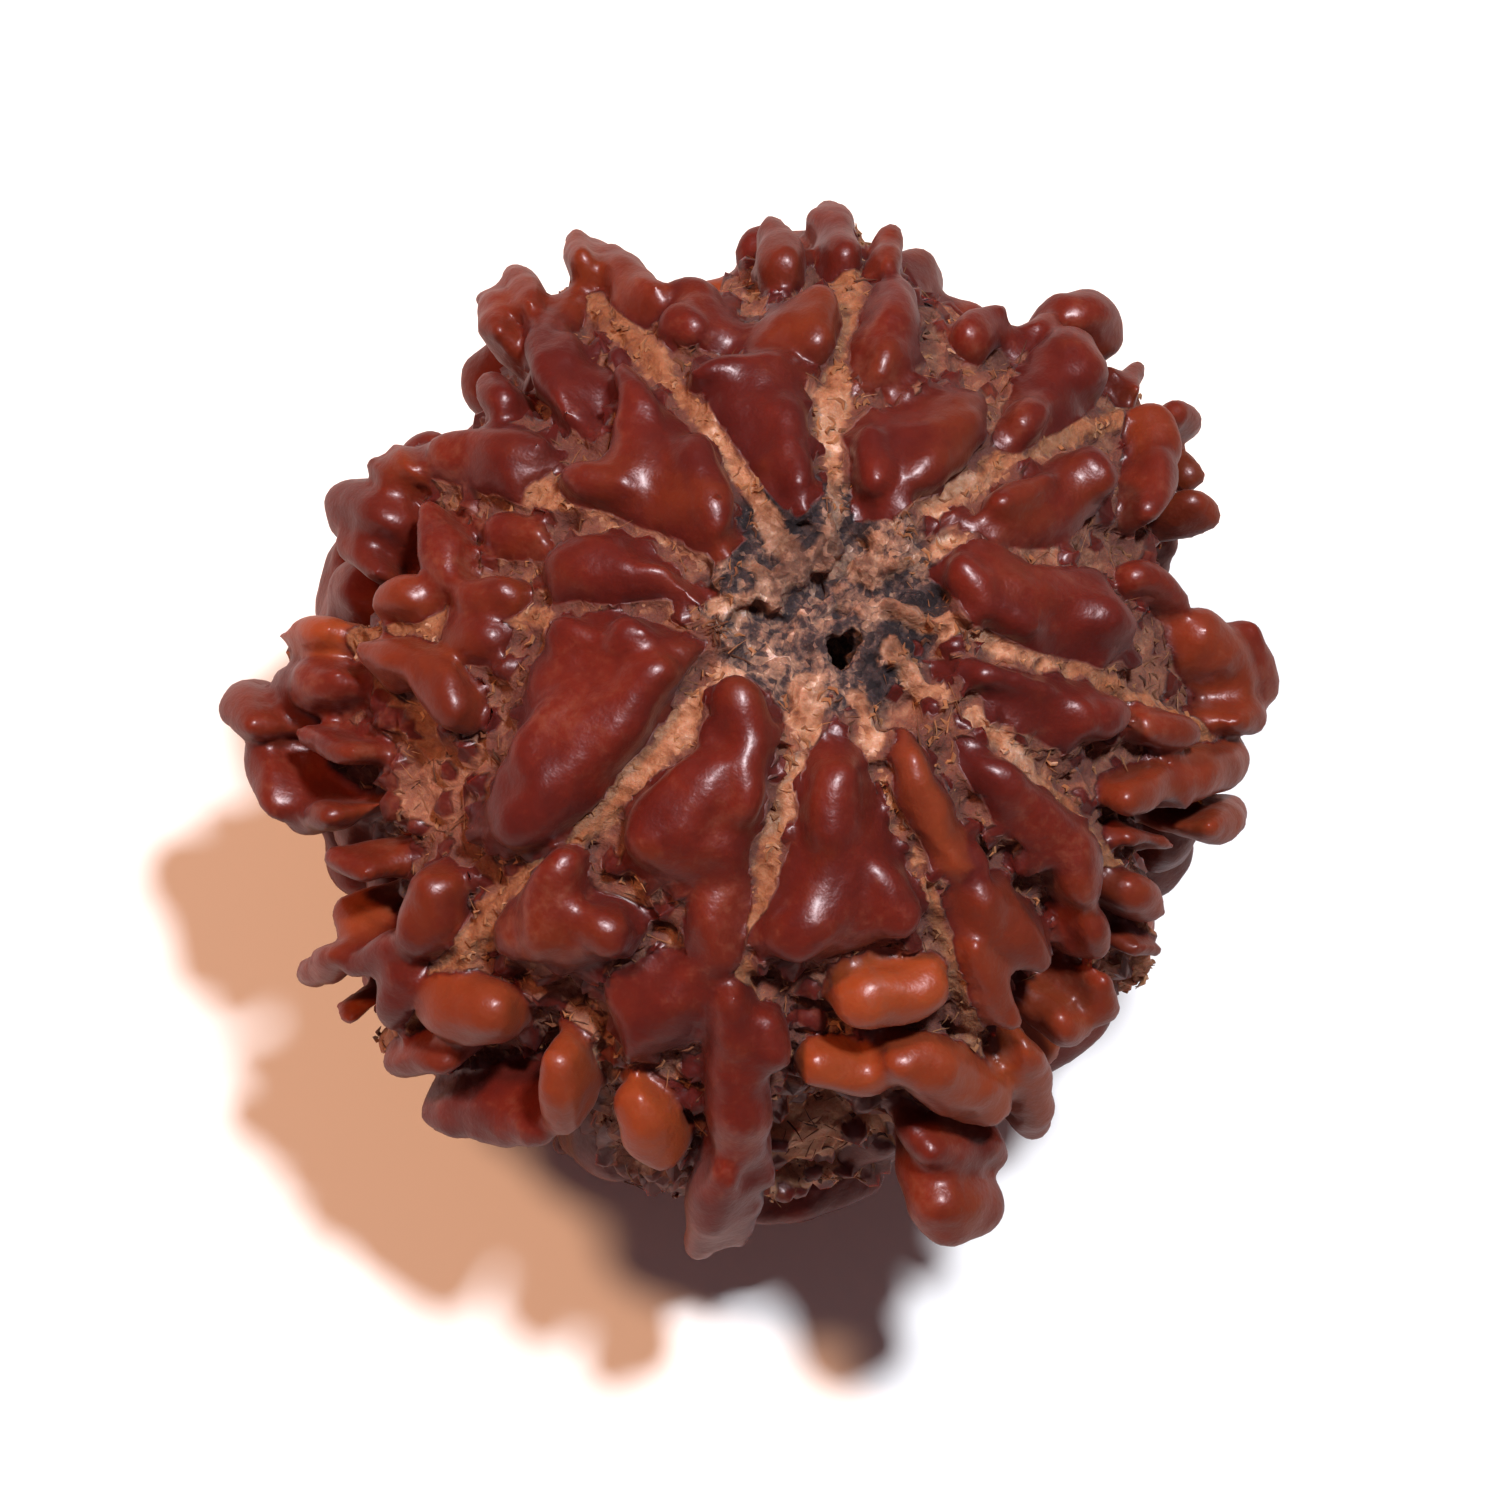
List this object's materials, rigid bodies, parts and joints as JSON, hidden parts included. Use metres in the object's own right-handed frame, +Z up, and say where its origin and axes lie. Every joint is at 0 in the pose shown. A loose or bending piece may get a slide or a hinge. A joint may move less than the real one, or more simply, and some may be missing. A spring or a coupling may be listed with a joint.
{
  "type": "rudraksha bead",
  "caption": "Natural rudraksha bead: a round woody fruit stone with ridges of waxy lobes, seams running end to end and a natural channel.",
  "frame": {"origin": "middle of the bead's box, on the flat spot that the bead rests on", "axes": "+Z up along the natural channel, from the flat spot to the upper end; +Y along the bead's longest width"},
  "size_m": [0.022, 0.0244, 0.0184],
  "materials": {
    "bead_shell": "waxy dark red-brown lobes with dry tan fibre between them"
  },
  "bodies": {
    "root": {"rudraksha_bead": "bead_shell"}
  },
  "joints": []
}
